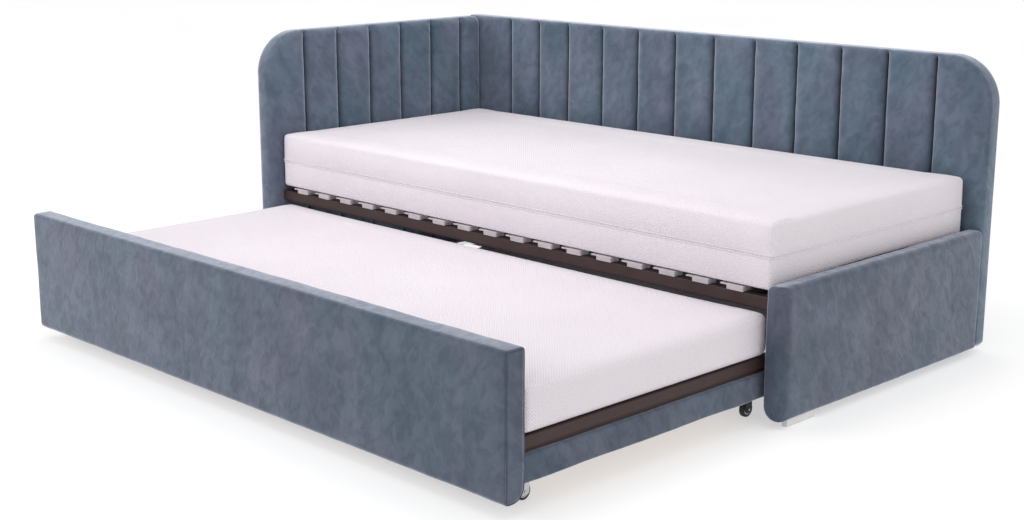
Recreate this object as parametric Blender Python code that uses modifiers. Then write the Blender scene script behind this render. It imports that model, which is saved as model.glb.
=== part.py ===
"""Upholstered day bed with a pull-out trundle on four casters.

Metres, +Z up. The origin is on the floor at the middle of the drawn-out bed.
+X runs from the head end to the foot end, and +Y from the trundle to the back panel.
The trundle stands drawn out; pushing it along +Y closes it under the bed.
"""

import math

import bmesh
import bpy
from mathutils import Matrix, Vector

# Driving dimensions of the whole bed.
FIT_GAP = 0.0003
MATTRESS_LENGTH = 2.000
MATTRESS_WIDTH = 0.910
MATTRESS_THICKNESS = 0.163
MATTRESS_BOTTOM = 0.360
END_CLEARANCE = 0.011
BACK_CLEARANCE = 0.017
TOTAL_DEPTH = 1.914

# Upholstered panels.
HEAD_THICKNESS = 0.085
BACK_THICKNESS = 0.064
FOOT_THICKNESS = 0.056
PAD_THICKNESS = 0.024
PANEL_BOTTOM = 0.015
FOOT_BOTTOM = 0.022
FOOT_TOP = 0.371
BACK_TOP = 0.862
CORNER_RADIUS = 0.140
SOFT_EDGE = 0.010
LOWER_ROUND = 0.036
TALL_ROUND_STEPS = 8
LOWER_ROUND_STEPS = 5
HEAD_FRONT_OVERHANG = 0.045
FOOT_FRONT_OVERHANG = 0.023
BACK_END_INSET = 0.008
SKID_LENGTH = 0.120
SKID_WIDTH = 0.015
SKID_MARGIN = 0.045

# Steel slat frame of the bed.
BED_RAIL_TOP = 0.331
BED_RAIL_HEIGHT = 0.036
RAIL_WIDTH = 0.025
RAIL_INSET = 0.002
CROSS_RAIL_OFFSET = 0.070
BRACKET_LENGTH = 0.060
BRACKET_PLATE = 0.003
BRACKET_MARGIN = 0.002
METAL_EDGE = 0.002
SLAT_COUNT = 17
SLAT_PITCH = 0.1124
SLAT_WIDTH = 0.053
SLAT_THICKNESS = 0.008
SLAT_CAP_HEIGHT = 0.015
SLAT_CAP_DEPTH = 0.036
SLAT_TONGUE_WIDTH = 0.022
SLAT_TONGUE_THICKNESS = 0.004
FIRST_SLAT_OFFSET = 0.0964
SLAT_SIDE_MARGIN = 0.001
SLAT_END_MARGIN = 0.003
SLAT_BOARD_DROP = 0.002
SLAT_BOW_CUTS = 11
TONGUE_LAP = 0.004
TONGUE_DROP = 0.001
TONGUE_MARGIN = 0.002
MATTRESS_EDGE = 0.022

# Trundle.
TRUNDLE_CLEARANCE = 0.007
TRUNDLE_PANEL_THICKNESS = 0.062
TRUNDLE_PANEL_BOTTOM = 0.035
TRUNDLE_PANEL_TOP = 0.385
TRUNDLE_BASE_LENGTH = 1.990
TRUNDLE_BASE_DEPTH = 0.904
TRUNDLE_BOARD_BOTTOM = 0.068
TRUNDLE_BOARD_TOP = 0.136
TRUNDLE_BOARD_THICKNESS = 0.030
TRUNDLE_RAIL_TOP = 0.175
TRUNDLE_RAIL_RECESS = 0.004
TRUNDLE_SLAT_THICKNESS = 0.012
TRUNDLE_SLAT_WIDTH = 0.070
TRUNDLE_SLAT_COUNT = 13
STRAP_WIDTH = 0.028
STRAP_THICKNESS = 0.002
TRUNDLE_MATTRESS_TOP = 0.289
TRUNDLE_MATTRESS_DEPTH = 0.880
TRUNDLE_MATTRESS_EDGE = 0.020
TRUNDLE_MATTRESS_SIDE = 0.001
TRUNDLE_MATTRESS_SET_BACK = 0.003
TRUNDLE_PANEL_EDGE = 0.006
BOARD_EDGE = 0.004
BEARER_EDGE = 0.002
BEARER_WIDTH = 0.066
SLAT_ROLL_MARGIN = 0.006
SLAT_ROLL_END_MARGIN = 0.004

# Casters.
WHEEL_RADIUS = 0.021
WHEEL_WIDTH = 0.014
AXLE_RADIUS = 0.003
AXLE_CLEARANCE = 0.0006
FORK_PLATE = 0.003
FORK_CHEEK = 0.0025
FORK_DEPTH = 0.026
FORK_SIDE_GAP = 0.0008
CASTER_FRONT_INSET = 0.062
CASTER_REAR_INSET = 0.028
FORK_PLATE_WIDTH = 0.050
FORK_PLATE_DEPTH = 0.042
FORK_BELOW_AXLE = 0.005
FORK_CHEEK_LAP = 0.001
FORK_CHEEK_ROUND = 0.0083
FORK_CHEEK_STEPS = 4
TREAD_ROUND = 0.0025
WHEEL_SIDES = 28
AXLE_SIDES = 16
AXLE_END = 0.002
DRILL_LENGTH = 0.060
SAME_PLACE = 1e-6

# Places worked out from the sizes above.
INNER_LENGTH = MATTRESS_LENGTH + 2 * END_CLEARANCE
TOTAL_LENGTH = HEAD_THICKNESS + INNER_LENGTH + FOOT_THICKNESS
HEAD_OUTER_X = -TOTAL_LENGTH / 2
HEAD_INNER_X = HEAD_OUTER_X + HEAD_THICKNESS
FOOT_INNER_X = HEAD_INNER_X + INNER_LENGTH
FOOT_OUTER_X = FOOT_INNER_X + FOOT_THICKNESS
BACK_REAR_Y = TOTAL_DEPTH / 2
BACK_FRONT_Y = BACK_REAR_Y - BACK_THICKNESS
MATTRESS_REAR_Y = BACK_FRONT_Y - BACK_CLEARANCE
MATTRESS_FRONT_Y = MATTRESS_REAR_Y - MATTRESS_WIDTH
HEAD_FRONT_Y = MATTRESS_FRONT_Y - HEAD_FRONT_OVERHANG
FOOT_FRONT_Y = MATTRESS_FRONT_Y - FOOT_FRONT_OVERHANG
TRUNDLE_FRONT_Y = -TOTAL_DEPTH / 2
TRUNDLE_PANEL_REAR_Y = TRUNDLE_FRONT_Y + TRUNDLE_PANEL_THICKNESS
TRUNDLE_BASE_FRONT_Y = TRUNDLE_PANEL_REAR_Y + FIT_GAP
TRUNDLE_BASE_REAR_Y = TRUNDLE_BASE_FRONT_Y + TRUNDLE_BASE_DEPTH
TRUNDLE_CENTRE_X = (HEAD_INNER_X + FOOT_INNER_X) / 2
CASTER_OFFSET_X = TRUNDLE_BASE_LENGTH / 2 - TRUNDLE_BOARD_THICKNESS - BEARER_WIDTH / 2
CASTER_FRONT_Y = TRUNDLE_BASE_FRONT_Y + CASTER_FRONT_INSET
CASTER_REAR_Y = TRUNDLE_BASE_REAR_Y - CASTER_REAR_INSET


def clear_scene():
    for item in list(bpy.data.objects):
        bpy.data.objects.remove(item)


def new_collection(name):
    collection = bpy.data.collections.new(name)
    bpy.context.scene.collection.children.link(collection)
    return collection


def material(name, colour, roughness, metallic=0.0):
    result = bpy.data.materials.new(name)
    result.use_nodes = True
    shader = result.node_tree.nodes["Principled BSDF"]
    shader.inputs["Base Color"].default_value = (*colour, 1.0)
    shader.inputs["Roughness"].default_value = roughness
    shader.inputs["Metallic"].default_value = metallic
    result.diffuse_color = (*colour, 1.0)
    return result


def place(name, mesh, location, finish, parent=None):
    """Link a new object for this mesh, with its origin at the location."""
    item = bpy.data.objects.new(name, mesh)
    item.location = location
    mesh.materials.clear()
    mesh.materials.append(finish)
    PARTS.objects.link(item)
    if parent is not None:
        item.parent = parent
        item.matrix_parent_inverse = Matrix.Translation(-parent.location)
    return item


def box_bmesh(size):
    shape = bmesh.new()
    bmesh.ops.create_cube(shape, size=1.0, matrix=Matrix.Diagonal((*size, 1.0)))
    return shape


def mesh_from(shape, name):
    mesh = bpy.data.meshes.new(name)
    shape.to_mesh(mesh)
    shape.free()
    return mesh


def corner_edges(shape, signs):
    """Edges of a centred box that lie on the given sides, such as {"x": 1, "z": 1}."""
    return [
        edge
        for edge in shape.edges
        if all(getattr(vert.co, axis) * sign > 0.0 for vert in edge.verts for axis, sign in signs.items())
    ]


def round_edges(shape, edges, radius, segments):
    bmesh.ops.bevel(
        shape,
        geom=edges,
        offset=radius,
        offset_type="OFFSET",
        segments=segments,
        profile=0.5,
        affect="EDGES",
        clamp_overlap=True,
    )


def block(name, low, high, finish, parent=None, soft=0.0, segments=2, rounds=()):
    """A box between two corners; rounds lists (sides, radius, segments) of single edges."""
    low = Vector(low)
    high = Vector(high)
    shape = box_bmesh(high - low)
    for signs, radius, steps in rounds:
        round_edges(shape, corner_edges(shape, signs), radius, steps)
    item = place(name, mesh_from(shape, name), (low + high) / 2, finish, parent)
    if soft > 0.0:
        bevel = item.modifiers.new("Edges", "BEVEL")
        bevel.width = soft
        bevel.segments = segments
        bevel.limit_method = "ANGLE"
        bevel.angle_limit = math.radians(30)
    return item


def helper(name, shape, location=(0.0, 0.0, 0.0)):
    """A guide object for a boolean, removed once it has been used."""
    item = bpy.data.objects.new(name, mesh_from(shape, name))
    item.location = location
    item.hide_render = True
    item.display_type = "WIRE"
    CUTTERS.objects.link(item)
    return item


def combine(target, tool, operation):
    """Apply one boolean to the target and drop the tool."""
    modifier = target.modifiers.new(operation.title(), "BOOLEAN")
    modifier.operation = operation
    modifier.solver = "EXACT"
    modifier.object = tool
    bpy.context.view_layer.update()
    depsgraph = bpy.context.evaluated_depsgraph_get()
    mesh = bpy.data.meshes.new_from_object(target.evaluated_get(depsgraph))
    target.modifiers.clear()
    target.data = mesh
    bpy.data.objects.remove(tool)


def cylinder_along_x(radius, length, sides):
    shape = bmesh.new()
    turn = Matrix.Rotation(math.pi / 2, 4, "Y")
    bmesh.ops.create_cone(
        shape, cap_ends=True, segments=sides, radius1=radius, radius2=radius, depth=length, matrix=turn
    )
    return shape


def build_panels():
    """The three fixed panels, and the channelled pads on the tall ones."""
    rear_y = BACK_FRONT_Y - FIT_GAP
    head_round = ({"y": -1, "z": 1}, CORNER_RADIUS, TALL_ROUND_STEPS)
    back_round = ({"x": 1, "z": 1}, CORNER_RADIUS, TALL_ROUND_STEPS)
    foot_round = ({"x": -1, "z": -1}, LOWER_ROUND, LOWER_ROUND_STEPS)
    back_end_x = FOOT_OUTER_X - BACK_END_INSET
    head_split = HEAD_INNER_X - PAD_THICKNESS
    back_split = BACK_FRONT_Y + PAD_THICKNESS
    block(
        "head_panel",
        (HEAD_OUTER_X, HEAD_FRONT_Y, PANEL_BOTTOM),
        (head_split - FIT_GAP, rear_y, BACK_TOP),
        VELVET, soft=SOFT_EDGE, rounds=[head_round],
    )
    block(
        "head_pad",
        (head_split, HEAD_FRONT_Y, PANEL_BOTTOM),
        (HEAD_INNER_X, rear_y, BACK_TOP),
        VELVET, soft=SOFT_EDGE, rounds=[head_round],
    )
    block(
        "back_panel",
        (HEAD_OUTER_X, back_split + FIT_GAP, PANEL_BOTTOM),
        (back_end_x, BACK_REAR_Y, BACK_TOP),
        VELVET, soft=SOFT_EDGE, rounds=[back_round],
    )
    block(
        "back_pad",
        (HEAD_OUTER_X, BACK_FRONT_Y, PANEL_BOTTOM),
        (back_end_x, back_split, BACK_TOP),
        VELVET, soft=SOFT_EDGE, rounds=[back_round],
    )
    block(
        "foot_panel",
        (FOOT_INNER_X, FOOT_FRONT_Y, FOOT_BOTTOM),
        (FOOT_OUTER_X, rear_y, FOOT_TOP),
        VELVET, soft=SOFT_EDGE, rounds=[foot_round],
    )


def build_skids():
    """Four nylon strips that the panels stand on, near the outer faces."""
    front_y = FOOT_FRONT_Y + SKID_MARGIN
    rear_y = BACK_REAR_Y - (BACK_THICKNESS - PAD_THICKNESS + SKID_WIDTH) / 2
    head_x = HEAD_OUTER_X + (HEAD_THICKNESS - PAD_THICKNESS - SKID_WIDTH) / 2
    foot_x = FOOT_OUTER_X - SOFT_EDGE - SKID_WIDTH
    rear_foot_x = FOOT_OUTER_X - BACK_END_INSET - SKID_MARGIN - SKID_LENGTH
    corners = (
        ("skid_front_head", head_x, front_y, SKID_WIDTH, SKID_LENGTH, PANEL_BOTTOM),
        ("skid_front_foot", foot_x, front_y, SKID_WIDTH, SKID_LENGTH, FOOT_BOTTOM),
        ("skid_rear_head", HEAD_OUTER_X + SKID_MARGIN, rear_y, SKID_LENGTH, SKID_WIDTH, PANEL_BOTTOM),
        ("skid_rear_foot", rear_foot_x, rear_y, SKID_LENGTH, SKID_WIDTH, PANEL_BOTTOM),
    )
    for name, x, y, width, depth, top in corners:
        block(name, (x, y, 0.0), (x + width, y + depth, top - FIT_GAP), WHITE_NYLON)


def build_bed_frame():
    """Steel rails between the panels, with a bracket at each corner."""
    low_z = BED_RAIL_TOP - BED_RAIL_HEIGHT
    front_y = MATTRESS_FRONT_Y + RAIL_INSET
    rear_y = MATTRESS_REAR_Y - RAIL_INSET
    start_x = HEAD_INNER_X + FIT_GAP
    end_x = FOOT_INNER_X - FIT_GAP
    for name, y in (("bed_rail_front", front_y), ("bed_rail_rear", rear_y - RAIL_WIDTH)):
        high = (end_x, y + RAIL_WIDTH, BED_RAIL_TOP)
        block(name, (start_x, y, low_z), high, BROWN_STEEL, soft=METAL_EDGE)
    inner_front = front_y + RAIL_WIDTH + FIT_GAP
    inner_rear = rear_y - RAIL_WIDTH - FIT_GAP
    cross = (
        ("bed_rail_head", HEAD_INNER_X + CROSS_RAIL_OFFSET),
        ("bed_rail_foot", FOOT_INNER_X - CROSS_RAIL_OFFSET - RAIL_WIDTH),
    )
    for name, x in cross:
        high = (x + RAIL_WIDTH, inner_rear, BED_RAIL_TOP)
        block(name, (x, inner_front, low_z), high, BROWN_STEEL, soft=METAL_EDGE)
    for end, x, way in (("head", start_x, 1), ("foot", end_x, -1)):
        build_bracket("bed_bracket_front_" + end, x, inner_front, way, 1)
        build_bracket("bed_bracket_rear_" + end, x, inner_rear, way, -1)


def build_bracket(name, x, y, way_x, way_y):
    """An angle plate in the corner between a rail and a panel."""
    height = BED_RAIL_HEIGHT - 2 * BRACKET_MARGIN
    middle_z = BED_RAIL_TOP - BED_RAIL_HEIGHT / 2
    plate = box_bmesh((BRACKET_PLATE, BRACKET_LENGTH, height))
    item = place(
        name,
        mesh_from(plate, name),
        (x + way_x * BRACKET_PLATE / 2, y + way_y * BRACKET_LENGTH / 2, middle_z),
        BROWN_STEEL,
    )
    arm = helper(
        name + "_arm",
        box_bmesh((BRACKET_LENGTH, BRACKET_PLATE, height)),
        (x + way_x * BRACKET_LENGTH / 2, y + way_y * BRACKET_PLATE / 2, middle_z),
    )
    combine(item, arm, "UNION")


def slat_mesh():
    """One sprung slat, bowed up in the middle, with its two end caps."""
    crown_z = MATTRESS_BOTTOM - FIT_GAP
    cap_top = BED_RAIL_TOP + SLAT_CAP_HEIGHT
    bow = crown_z - (cap_top - SLAT_BOARD_DROP)
    half = MATTRESS_WIDTH / 2
    board_length = MATTRESS_WIDTH - 2 * SLAT_END_MARGIN
    board = box_bmesh((SLAT_WIDTH - 2 * SLAT_SIDE_MARGIN, board_length, SLAT_THICKNESS))
    lengthwise = [
        edge for edge in board.edges if abs(edge.verts[0].co.y - edge.verts[1].co.y) > SAME_PLACE
    ]
    bmesh.ops.subdivide_edges(board, edges=lengthwise, cuts=SLAT_BOW_CUTS, use_grid_fill=True)
    for vert in board.verts:
        vert.co.z += crown_z - SLAT_THICKNESS / 2 - bow * (vert.co.y / half) ** 2
    item = bpy.data.objects.new("slat_pattern", mesh_from(board, "bed_slat"))
    CUTTERS.objects.link(item)
    cap_low = BED_RAIL_TOP + FIT_GAP
    cap_height = cap_top - cap_low
    for side in (-1, 1):
        cap_y = side * (half - SLAT_CAP_DEPTH / 2)
        cap = box_bmesh((SLAT_WIDTH, SLAT_CAP_DEPTH, cap_height))
        combine(item, helper("cap", cap, (0.0, cap_y, cap_low + cap_height / 2)), "UNION")
        tongue_width = SLAT_TONGUE_WIDTH + TONGUE_LAP
        tongue_depth = SLAT_CAP_DEPTH - 2 * TONGUE_MARGIN
        tongue = box_bmesh((tongue_width, tongue_depth, SLAT_TONGUE_THICKNESS))
        tongue_x = (TONGUE_LAP - SLAT_WIDTH - SLAT_TONGUE_WIDTH) / 2
        tongue_z = cap_top - SLAT_TONGUE_THICKNESS / 2 - TONGUE_DROP
        combine(item, helper("tongue", tongue, (tongue_x, cap_y, tongue_z)), "UNION")
    mesh = item.data
    bpy.data.objects.remove(item)
    return mesh


def build_bed_slats():
    mesh = slat_mesh()
    middle_y = (MATTRESS_FRONT_Y + MATTRESS_REAR_Y) / 2
    for index in range(SLAT_COUNT):
        x = HEAD_INNER_X + END_CLEARANCE + FIRST_SLAT_OFFSET + index * SLAT_PITCH
        place("bed_slat_%02d" % (index + 1), mesh, (x, middle_y, 0.0), SLAT_GREY)


def build_mattresses():
    middle_x = (HEAD_INNER_X + FOOT_INNER_X) / 2
    half = MATTRESS_LENGTH / 2
    block(
        "upper_mattress",
        (middle_x - half, MATTRESS_FRONT_Y, MATTRESS_BOTTOM),
        (middle_x + half, MATTRESS_REAR_Y, MATTRESS_BOTTOM + MATTRESS_THICKNESS),
        TICKING, soft=MATTRESS_EDGE, segments=3,
    )
    trundle_half = TRUNDLE_BASE_LENGTH / 2 - TRUNDLE_MATTRESS_SIDE
    front_y = TRUNDLE_BASE_FRONT_Y + TRUNDLE_MATTRESS_SET_BACK
    block(
        "trundle_mattress",
        (TRUNDLE_CENTRE_X - trundle_half, front_y, TRUNDLE_RAIL_TOP + FIT_GAP),
        (TRUNDLE_CENTRE_X + trundle_half, front_y + TRUNDLE_MATTRESS_DEPTH, TRUNDLE_MATTRESS_TOP),
        TICKING, TRUNDLE, soft=TRUNDLE_MATTRESS_EDGE, segments=3,
    )


def build_trundle_panel():
    lower_round = ({"y": 1, "z": -1}, LOWER_ROUND, LOWER_ROUND_STEPS)
    block(
        "trundle_front_panel",
        (HEAD_INNER_X + TRUNDLE_CLEARANCE, TRUNDLE_FRONT_Y, TRUNDLE_PANEL_BOTTOM),
        (FOOT_INNER_X - TRUNDLE_CLEARANCE, TRUNDLE_PANEL_REAR_Y, TRUNDLE_PANEL_TOP),
        VELVET, TRUNDLE, soft=TRUNDLE_PANEL_EDGE, rounds=[lower_round],
    )


def build_trundle_base():
    """Velvet boards below, brown steel rails above, and the two caster bearers inside."""
    half = TRUNDLE_BASE_LENGTH / 2
    low_x = TRUNDLE_CENTRE_X - half
    high_x = TRUNDLE_CENTRE_X + half
    rear_inner = TRUNDLE_BASE_REAR_Y - TRUNDLE_BOARD_THICKNESS
    board_high = TRUNDLE_BOARD_TOP - FIT_GAP
    boards = (
        ("trundle_side_head", low_x, low_x + TRUNDLE_BOARD_THICKNESS),
        ("trundle_side_foot", high_x - TRUNDLE_BOARD_THICKNESS, high_x),
    )
    for name, x0, x1 in boards:
        block(
            name,
            (x0, TRUNDLE_BASE_FRONT_Y, TRUNDLE_BOARD_BOTTOM),
            (x1, TRUNDLE_BASE_REAR_Y, board_high),
            VELVET, TRUNDLE, soft=BOARD_EDGE,
        )
    inner_low = low_x + TRUNDLE_BOARD_THICKNESS + FIT_GAP
    inner_high = high_x - TRUNDLE_BOARD_THICKNESS - FIT_GAP
    block(
        "trundle_rear_board",
        (inner_low, rear_inner, TRUNDLE_BOARD_BOTTOM),
        (inner_high, TRUNDLE_BASE_REAR_Y, board_high),
        VELVET, TRUNDLE, soft=BOARD_EDGE,
    )
    bearers = (
        ("trundle_bearer_head", inner_low, inner_low + BEARER_WIDTH),
        ("trundle_bearer_foot", inner_high - BEARER_WIDTH, inner_high),
    )
    for name, x0, x1 in bearers:
        block(
            name,
            (x0, TRUNDLE_BASE_FRONT_Y, TRUNDLE_BOARD_BOTTOM + FIT_GAP),
            (x1, rear_inner - FIT_GAP, board_high),
            PINE, TRUNDLE, soft=BEARER_EDGE,
        )
    build_trundle_rails(low_x + TRUNDLE_RAIL_RECESS, high_x - TRUNDLE_RAIL_RECESS)


def build_trundle_rails(low_x, high_x):
    slat_bottom = TRUNDLE_RAIL_TOP - TRUNDLE_SLAT_THICKNESS
    rear_y = TRUNDLE_BASE_REAR_Y - TRUNDLE_RAIL_RECESS
    for name, x in (("trundle_rail_head", low_x), ("trundle_rail_foot", high_x - RAIL_WIDTH)):
        block(
            name,
            (x, TRUNDLE_BASE_FRONT_Y, TRUNDLE_BOARD_TOP),
            (x + RAIL_WIDTH, rear_y, TRUNDLE_RAIL_TOP),
            BROWN_STEEL, TRUNDLE, soft=METAL_EDGE,
        )
    start_x = low_x + RAIL_WIDTH + FIT_GAP
    end_x = high_x - RAIL_WIDTH - FIT_GAP
    middle_y = (TRUNDLE_BASE_FRONT_Y + rear_y - RAIL_WIDTH) / 2
    lengthwise = (
        ("trundle_rail_front", TRUNDLE_BASE_FRONT_Y),
        ("trundle_rail_centre", middle_y),
        ("trundle_rail_rear", rear_y - RAIL_WIDTH),
    )
    for name, y in lengthwise:
        block(
            name,
            (start_x, y, TRUNDLE_BOARD_TOP),
            (end_x, y + RAIL_WIDTH, slat_bottom - FIT_GAP),
            BROWN_STEEL, TRUNDLE, soft=METAL_EDGE,
        )
    build_trundle_slats(start_x + SLAT_ROLL_MARGIN, end_x - SLAT_ROLL_MARGIN, rear_y, slat_bottom)


def build_trundle_slats(start_x, end_x, rear_y, low_z):
    """A roll of flat pine slats held at even distances by two webbing straps."""
    depth = rear_y - TRUNDLE_BASE_FRONT_Y - SLAT_ROLL_END_MARGIN
    middle_y = (rear_y + TRUNDLE_BASE_FRONT_Y) / 2
    middle_z = low_z + TRUNDLE_SLAT_THICKNESS / 2
    pitch = (end_x - start_x - TRUNDLE_SLAT_WIDTH) / (TRUNDLE_SLAT_COUNT - 1)
    first = box_bmesh((TRUNDLE_SLAT_WIDTH, depth, TRUNDLE_SLAT_THICKNESS - FIT_GAP))
    origin_x = start_x + TRUNDLE_SLAT_WIDTH / 2
    mesh = mesh_from(first, "trundle_slats")
    item = place("trundle_slats", mesh, (origin_x, middle_y, middle_z), PINE, TRUNDLE)
    array = item.modifiers.new("Slats", "ARRAY")
    array.count = TRUNDLE_SLAT_COUNT
    array.use_relative_offset = False
    array.use_constant_offset = True
    array.constant_offset_displace = (pitch, 0.0, 0.0)
    strap_length = pitch * (TRUNDLE_SLAT_COUNT - 1) + TRUNDLE_SLAT_WIDTH / 2
    strap_x = origin_x + pitch * (TRUNDLE_SLAT_COUNT - 1) / 2
    for side in (-1, 1):
        strap = helper(
            "strap",
            box_bmesh((strap_length, STRAP_WIDTH, STRAP_THICKNESS)),
            (strap_x, middle_y + side * depth / 4, middle_z),
        )
        combine(item, strap, "UNION")


def fork_mesh():
    """A fixed caster's top plate with two cheeks, drilled for the axle; z=0 is the axle."""
    plate_top = TRUNDLE_BOARD_BOTTOM - WHEEL_RADIUS - FIT_GAP
    cheek_x = WHEEL_WIDTH / 2 + FORK_SIDE_GAP + FORK_CHEEK / 2
    cheek_low = -AXLE_RADIUS - FORK_BELOW_AXLE
    plate = box_bmesh((FORK_PLATE_WIDTH, FORK_PLATE_DEPTH, FORK_PLATE))
    bmesh.ops.translate(plate, verts=plate.verts, vec=(0.0, 0.0, plate_top - FORK_PLATE / 2))
    item = bpy.data.objects.new("fork_pattern", mesh_from(plate, "caster_fork"))
    CUTTERS.objects.link(item)
    height = plate_top - FORK_CHEEK_LAP - cheek_low
    for side in (-1, 1):
        cheek = box_bmesh((FORK_CHEEK, FORK_DEPTH, height))
        for way in (1, -1):
            lower_edges = corner_edges(cheek, {"y": way, "z": -1})
            round_edges(cheek, lower_edges, FORK_CHEEK_ROUND, FORK_CHEEK_STEPS)
        spot = (side * cheek_x, 0.0, cheek_low + height / 2)
        combine(item, helper("cheek", cheek, spot), "UNION")
    drill = helper("drill", cylinder_along_x(AXLE_RADIUS + FIT_GAP, DRILL_LENGTH, AXLE_SIDES))
    combine(item, drill, "DIFFERENCE")
    mesh = item.data
    bpy.data.objects.remove(item)
    return mesh


def wheel_mesh():
    """A tyred wheel turned about X, with a bore for the axle."""
    shape = cylinder_along_x(WHEEL_RADIUS, WHEEL_WIDTH, WHEEL_SIDES)
    rims = [
        edge for edge in shape.edges if abs(edge.verts[0].co.x - edge.verts[1].co.x) < SAME_PLACE
    ]
    round_edges(shape, rims, TREAD_ROUND, 2)
    item = bpy.data.objects.new("wheel_pattern", mesh_from(shape, "caster_wheel"))
    CUTTERS.objects.link(item)
    hole = cylinder_along_x(AXLE_RADIUS + AXLE_CLEARANCE, DRILL_LENGTH, AXLE_SIDES)
    bore = helper("bore", hole)
    combine(item, bore, "DIFFERENCE")
    mesh = item.data
    bpy.data.objects.remove(item)
    return mesh


def build_casters():
    """Four fixed casters that roll along Y, each with a fork, an axle pin and a wheel."""
    fork = fork_mesh()
    wheel = wheel_mesh()
    pin_length = WHEEL_WIDTH + 2 * (FORK_SIDE_GAP + FORK_CHEEK + AXLE_END)
    pin = mesh_from(cylinder_along_x(AXLE_RADIUS, pin_length, AXLE_SIDES), "caster_axle")
    for end, way in (("head", -1), ("foot", 1)):
        for row, y in (("front", CASTER_FRONT_Y), ("rear", CASTER_REAR_Y)):
            spot = (TRUNDLE_CENTRE_X + way * CASTER_OFFSET_X, y, WHEEL_RADIUS)
            label = row + "_" + end
            place("caster_fork_" + label, fork, spot, ZINC, TRUNDLE)
            place("caster_axle_" + label, pin, spot, ZINC, TRUNDLE)
            place("caster_wheel_" + label, wheel, spot, BLACK_RUBBER, TRUNDLE)


clear_scene()
PARTS = new_collection("trundle_bed")
CUTTERS = new_collection("cutters")

VELVET = material("blue_grey_velvet", (0.130, 0.165, 0.215), 0.75)
TICKING = material("mattress_ticking", (0.800, 0.740, 0.770), 0.85)
BROWN_STEEL = material("brown_painted_steel", (0.060, 0.038, 0.036), 0.45, 0.2)
SLAT_GREY = material("slat_grey", (0.480, 0.440, 0.460), 0.55)
PINE = material("pine", (0.620, 0.460, 0.290), 0.60)
WHITE_NYLON = material("white_nylon", (0.720, 0.720, 0.700), 0.50)
BLACK_RUBBER = material("black_rubber", (0.018, 0.018, 0.020), 0.60)
ZINC = material("zinc_plate", (0.560, 0.560, 0.580), 0.35, 0.9)

# The trundle's slide: everything under this empty moves along Y.
TRUNDLE = bpy.data.objects.new("trundle_slide", None)
TRUNDLE.location = (TRUNDLE_CENTRE_X, TRUNDLE_BASE_FRONT_Y, 0.0)
PARTS.objects.link(TRUNDLE)

build_panels()
build_skids()
build_bed_frame()
build_bed_slats()
build_mattresses()
build_trundle_panel()
build_trundle_base()
build_casters()
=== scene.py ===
import math

import bmesh
import bpy
import numpy as np
from mathutils import Matrix, Vector, noise


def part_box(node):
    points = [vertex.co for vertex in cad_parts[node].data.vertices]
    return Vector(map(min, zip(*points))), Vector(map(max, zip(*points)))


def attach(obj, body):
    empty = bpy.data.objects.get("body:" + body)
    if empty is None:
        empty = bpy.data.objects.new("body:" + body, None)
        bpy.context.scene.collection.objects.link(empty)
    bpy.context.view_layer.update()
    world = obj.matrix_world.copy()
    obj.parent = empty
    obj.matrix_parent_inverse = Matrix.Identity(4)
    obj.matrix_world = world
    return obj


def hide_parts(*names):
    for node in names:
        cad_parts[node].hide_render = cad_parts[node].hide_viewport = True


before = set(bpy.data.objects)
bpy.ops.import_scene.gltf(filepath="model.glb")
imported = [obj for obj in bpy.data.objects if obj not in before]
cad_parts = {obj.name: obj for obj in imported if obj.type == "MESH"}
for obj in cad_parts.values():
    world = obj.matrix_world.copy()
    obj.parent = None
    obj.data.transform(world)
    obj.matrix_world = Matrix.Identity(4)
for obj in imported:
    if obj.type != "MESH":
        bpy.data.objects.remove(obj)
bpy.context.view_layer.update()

GAP = 0.0006
QUARTER_TURN = math.pi / 2
TINY = 1e-9
LEAST_RADIUS = 0.0004
EDGE_LINES = (0.0, 0.12, 0.30, 0.55, 0.78)

# Velvet upholstery.
HEAD_EDGE_RADIUS = 0.024
BACK_EDGE_RADIUS = 0.016
HEAD_OUTER_RADIUS = 0.038
BACK_OUTER_RADIUS = 0.014
TOP_CORNER_RADIUS = 0.140
SMALL_CORNER = 0.005
NARROW_CHANNEL = 0.1428
NARROW_BACK_CHANNELS = 3
WIDE_CHANNEL = 0.1620
FIRST_HEAD_SEAM = 0.161
SEAM_DEPTH = 0.022
SHOULDER_WIDTH = 0.031
CHANNEL_CROWN = 0.0032
SEAM_TOP_FADE = (0.0005, 0.012)
# How far the painted crease shade reaches from a seam.
PAINTED_SHADE_REACH = 0.006
LOWER_ROUND = 0.036
FOOT_CORNER = 0.034
PUCKER_HEIGHT = 0.0018
PUCKER_REACH = 0.020
FACE_WAVE = 0.0022
REAR_WAVE = 0.0015
WAVE_FADE = 0.05
CORNER_LINES = 12
EDGE_ROLLS = 6
BOARD_ROLLS = 5
BOARD_SPACING = 0.018
BOARD_WAVE = 0.0016
BOARD_GRAIN = 0.0005
COVER_RADII = (0.006, 0.006, 0.006, 0.006)
COVER_SPACING = 0.014
BOARD_END_RADIUS = 0.004
FOOT_RADII = (0.016, 0.020, LOWER_ROUND, 0.008)
FOOT_END_RADIUS = 0.008
FOOT_SPACING = 0.009
FOOT_CAP_INSETS = (0.0188, 0.0150, 0.0110, 0.0070, 0.0030)
FRONT_RADII = (0.010, 0.010, 0.014, LOWER_ROUND)

# Columns either side of a seam, and rows down from a panel's top and up from its bottom.
SEAM_LINES = (0.0, 0.0007, 0.0016, 0.003, 0.005, 0.008, 0.012, 0.0175, 0.025, 0.036, 0.050, 0.066)
TOP_LINES = (0.0, 0.002, 0.004, 0.007, 0.010, 0.014, 0.018, 0.024, 0.030)
BOTTOM_LINES = (0.0, 0.003, 0.007, 0.012)
COLUMN_SPACING = 0.016
COLUMN_GAP = 0.0006
ROW_SPACING = 0.011
ROW_GAP = 0.0012

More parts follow.
